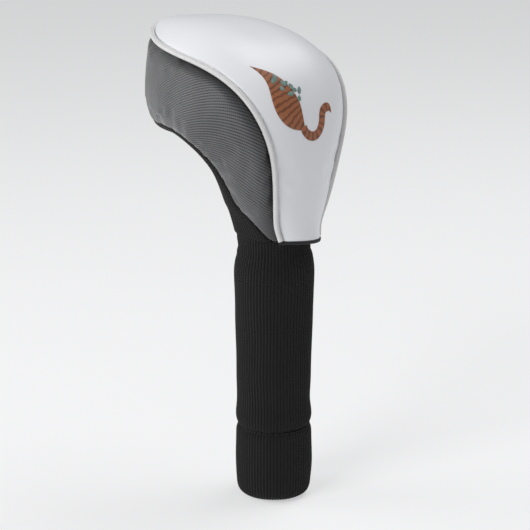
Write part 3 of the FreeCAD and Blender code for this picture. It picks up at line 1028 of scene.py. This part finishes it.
# flat coordinates of the motif in millimetres, x to the right and y up
LEAF_TIP = np.array([-20.0, 28.0])
LEAF_BASE = np.array([9.0, -22.0])
STALK = np.array([(8.0, -20.0), (14.0, -26.5), (22.0, -26.0), (27.0, -19.0), (29.0, -12.0),
                  (34.0, -9.0), (38.5, -13.0)])
LEAF_HALF_WIDTH = 10.6
STALK_HALF_WIDTH = 3.1
SPRIG_COUNT = 10
SPRIG_START = np.array([-9.0, 15.0])
SPRIG_RUN = np.array([19.0, -13.0])
SPRIG_SWAY = 4.0
SMALL_LEAF_HALF_LENGTH = 2.6
SMALL_LEAF_HALF_WIDTH = 1.5


def motif_frame(panel):
    """Returns a function that lays flat motif coordinates, in millimetres, on the white panel."""
    tree = BVHTree.FromObject(panel, bpy.context.evaluated_depsgraph_get())
    centre = shell(np.array([MOTIF_PLACE]), np.ones(1), np.array([[MOTIF_ANGLE]]))[0, 0]
    spot, facing, _, _ = tree.find_nearest(Vector(centre) * MM)
    across = facing.cross(Vector((0, 0, 1))).normalized() * -1.0
    upward = across.cross(facing)
    if upward.z < 0:
        upward = -upward

    def lay(x, y, lift=PRINT_LIFT):
        start = spot + (across * x + upward * y + facing * 30.0) * MM
        hit, normal, _, _ = tree.ray_cast(start, -facing)
        if hit is None:
            raise RuntimeError("the motif runs off the white panel")
        return np.array(hit + normal * lift * MM) / MM
    return lay


def ribbon(lay, line, width, lift=PRINT_LIFT, steps=9):
    """Grid of a flat shape whose middle line and half width are functions of 0 to 1."""
    share = np.linspace(0.0, 1.0, 61)
    middle = np.array([line(t) for t in share])
    along = unit(np.gradient(middle, axis=0))
    side = np.stack([-along[:, 1], along[:, 0]], axis=1)
    offsets = np.linspace(-1.0, 1.0, steps)
    return np.array([[lay(*(m + s * width(t) * o), lift) for o in offsets]
                     for m, s, t in zip(middle, side, share)])


def small_leaf(lay, number):
    """One small leaf of the sprig, on a slanting band across the large leaf."""
    sway = np.array([0.0, SPRIG_SWAY * math.sin(number * 2.2)])
    middle = SPRIG_START + SPRIG_RUN * number / (SPRIG_COUNT - 1) + sway
    swing = 0.7 + 1.3 * math.sin(number * 2.4)
    half_length = SMALL_LEAF_HALF_LENGTH + 0.5 * math.cos(number * 1.3)
    half = half_length * np.array([math.cos(swing), math.sin(swing)])

    def line(t):
        return middle + half * (2.0 * t - 1.0)

    def width(t):
        return 0.1 + SMALL_LEAF_HALF_WIDTH * math.sin(math.pi * t) ** 0.9

    return ribbon(lay, line, width, PRINT_LIFT + SPRIG_LIFT, steps=5)


def make_motif(panel, rust, green):
    """Generic print: one striped leaf with a curled stalk, and a sprig of small leaves over it."""
    lay = motif_frame(panel)
    along = unit(LEAF_BASE - LEAF_TIP)
    beside = np.array([-along[1], along[0]])

    def leaf_line(t):
        return LEAF_TIP + (LEAF_BASE - LEAF_TIP) * t + beside * 2.5 * math.sin(2 * math.pi * t)

    def leaf_width(t):
        return 0.15 + LEAF_HALF_WIDTH * math.sin(math.pi * t ** 1.45) ** 0.9

    def stalk_line(t):
        knots = np.linspace(0.0, 1.0, len(STALK))
        return spline(knots, STALK, np.array([t]))[0][0]

    def stalk_width(t):
        return STALK_HALF_WIDTH * min(1.0, 8.0 * (1.0 - t) + 0.1)

    leaf = ribbon(lay, leaf_line, leaf_width)
    sheet("print_leaf", leaf, rust, PRINT_THICKNESS, "head")
    stalk = ribbon(lay, stalk_line, stalk_width)
    sheet("print_stalk", stalk, rust, PRINT_THICKNESS, "head")
    for number in range(SPRIG_COUNT):
        sheet(f"print_sprig_{number + 1}", small_leaf(lay, number), green, SPRIG_THICKNESS, "head")


# ------------------------------------------------------------------ stage


# the stage is in metres
CAMERA_AZIMUTH = math.radians(42.0)
CAMERA_ELEVATION = math.radians(16.0)
CAMERA_DISTANCE = 1.4
CAMERA_AIM_HEIGHT = 0.1736
CAMERA_SHIFT = -0.0065
CAMERA_LENS = 132.0     # focal length in millimetres
FLOOR_RADIUS = 12.0
WORLD_LIGHT = 0.24      # strength of the light from all round
SEEN_WORLD = 0.78       # brightness of the background that the camera sees


def make_camera():
    """Camera that looks slightly down at the near side; returns its right and back directions."""
    cos_a, sin_a = math.cos(CAMERA_AZIMUTH), math.sin(CAMERA_AZIMUTH)
    cos_e, sin_e = math.cos(CAMERA_ELEVATION), math.sin(CAMERA_ELEVATION)
    right = Vector((cos_a, sin_a, 0))
    back = Vector((sin_a * cos_e, -cos_a * cos_e, sin_e))
    lens = bpy.data.cameras.new("camera")
    lens.lens = CAMERA_LENS
    camera = new_object("camera", lens)
    camera.location = Vector((0, 0, CAMERA_AIM_HEIGHT)) + right * CAMERA_SHIFT + back * CAMERA_DISTANCE
    camera.rotation_mode = "QUATERNION"
    camera.rotation_quaternion = (-back).to_track_quat("-Z", "Y")
    bpy.context.scene.camera = camera
    return right, back


def make_light(name, place, aim, size, power):
    """A square soft box."""
    lamp = bpy.data.lights.new(name, "AREA")
    lamp.size = size
    lamp.energy = power
    light = new_object(name, lamp)
    light.location = place
    light.rotation_mode = "QUATERNION"
    light.rotation_quaternion = (Vector(aim) - Vector(place)).to_track_quat("-Z", "Y")


def make_floor():
    """A wide round floor just below the cover."""
    work = bmesh.new()
    bmesh.ops.create_circle(work, cap_ends=True, segments=96, radius=FLOOR_RADIUS)
    mesh = bpy.data.meshes.new("floor")
    work.to_mesh(mesh)
    work.free()
    mesh.materials.append(floor_paper())
    floor = new_object("floor", mesh)
    floor.location = (0, 0, -0.001)


def floor_paper():
    """Pale paper that can't be seen from below."""
    made = surface("paper", pale_floor)
    tree = made.node_tree
    below = add_node(tree, "NewGeometry").outputs["Backfacing"]
    clear = add_node(tree, "BsdfTransparent").outputs[0]
    choice = tree.nodes.new("ShaderNodeMixShader")
    put(tree, choice.inputs[0], below)
    tree.links.new(tree.nodes["Principled BSDF"].outputs[0], choice.inputs[1])
    tree.links.new(clear, choice.inputs[2])
    tree.links.new(choice.outputs[0], tree.nodes["Material Output"].inputs[0])
    return made


def make_world():
    """Even pale light from all round, and a pale background where the floor ends."""
    world = bpy.data.worlds.new("studio")
    world.use_nodes = True
    tree = world.node_tree
    seen = tree.nodes.new("ShaderNodeLightPath").outputs["Is Camera Ray"]
    strength = maths(tree, "ADD", maths(tree, "MULTIPLY", seen, SEEN_WORLD - WORLD_LIGHT), WORLD_LIGHT)
    background = tree.nodes["Background"]
    background.inputs[0].default_value = (0.93, 0.94, 0.96, 1.0)
    put(tree, background.inputs[1], strength)
    bpy.context.scene.world = world


def make_lights(right, back):
    """Soft boxes: high in front on the left, high behind on the right, and weaker ones at each side."""
    level = Vector((back.x, back.y, 0)).normalized()
    middle = Vector((0, 0, 0.22))
    key = middle - right * 1.05 + level * 1.15 + Vector((0, 0, 0.9))
    side = middle - right * 1.6 - level * 0.2 + Vector((0, 0, 0.5))
    fill = middle + right * 1.6 + level * 1.0 + Vector((0, 0, 0.3))
    top = middle + right * 0.7 - level * 0.5 + Vector((0, 0, 1.4))
    make_light("key", key, middle, size=0.9, power=16.5)
    make_light("side", side, middle, size=1.0, power=9.0)
    make_light("fill", fill, middle, size=1.4, power=0.3)
    make_light("top", top, middle, size=1.2, power=14.0)


# ------------------------------------------------------------------ the whole cover


def paint_cad_nodes(elastic, thread, hidden):
    """Materials for the CAD pieces; all but the three named here are replaced by other pieces."""
    looks = {"cuff_elastic": elastic, "neck_seam_stitches": thread, "cuff_seam_stitches": thread}
    for name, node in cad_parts.items():
        node.data.materials.clear()
        node.data.materials.append(looks.get(name, hidden))
        node.data.polygons.foreach_set("use_smooth", np.ones(len(node.data.polygons), dtype=bool))


WHITE = surface("white_leather", white_leather)
PIPING = surface("piping_leather", piping_leather)
NYLON = surface("charcoal_nylon", charcoal_nylon)
KNIT = surface("black_knit", black_knit)
TAPE = surface("black_tape", black_tape)
FLEECE = surface("grey_fleece", grey_fleece)
ELASTIC = surface("covered_elastic", covered_elastic)
THREAD = surface("black_thread", black_thread)
RUST = surface("rust_print", rust_print)
GREEN = surface("green_print", green_print)

TOP_PANEL = make_top_panel(WHITE)
make_side_gusset(NYLON)
make_underside(KNIT)
make_linings(FLEECE)
make_tape(TAPE)
make_piping(PIPING)
make_hem_binding(TAPE)
make_sock(KNIT)
make_neck_elastic(ELASTIC)
make_cuff(KNIT)
make_motif(TOP_PANEL, RUST, GREEN)
paint_cad_nodes(ELASTIC, THREAD, FLEECE)
make_floor()
make_world()
make_lights(*make_camera())
bpy.context.scene.view_settings.view_transform = "Standard"
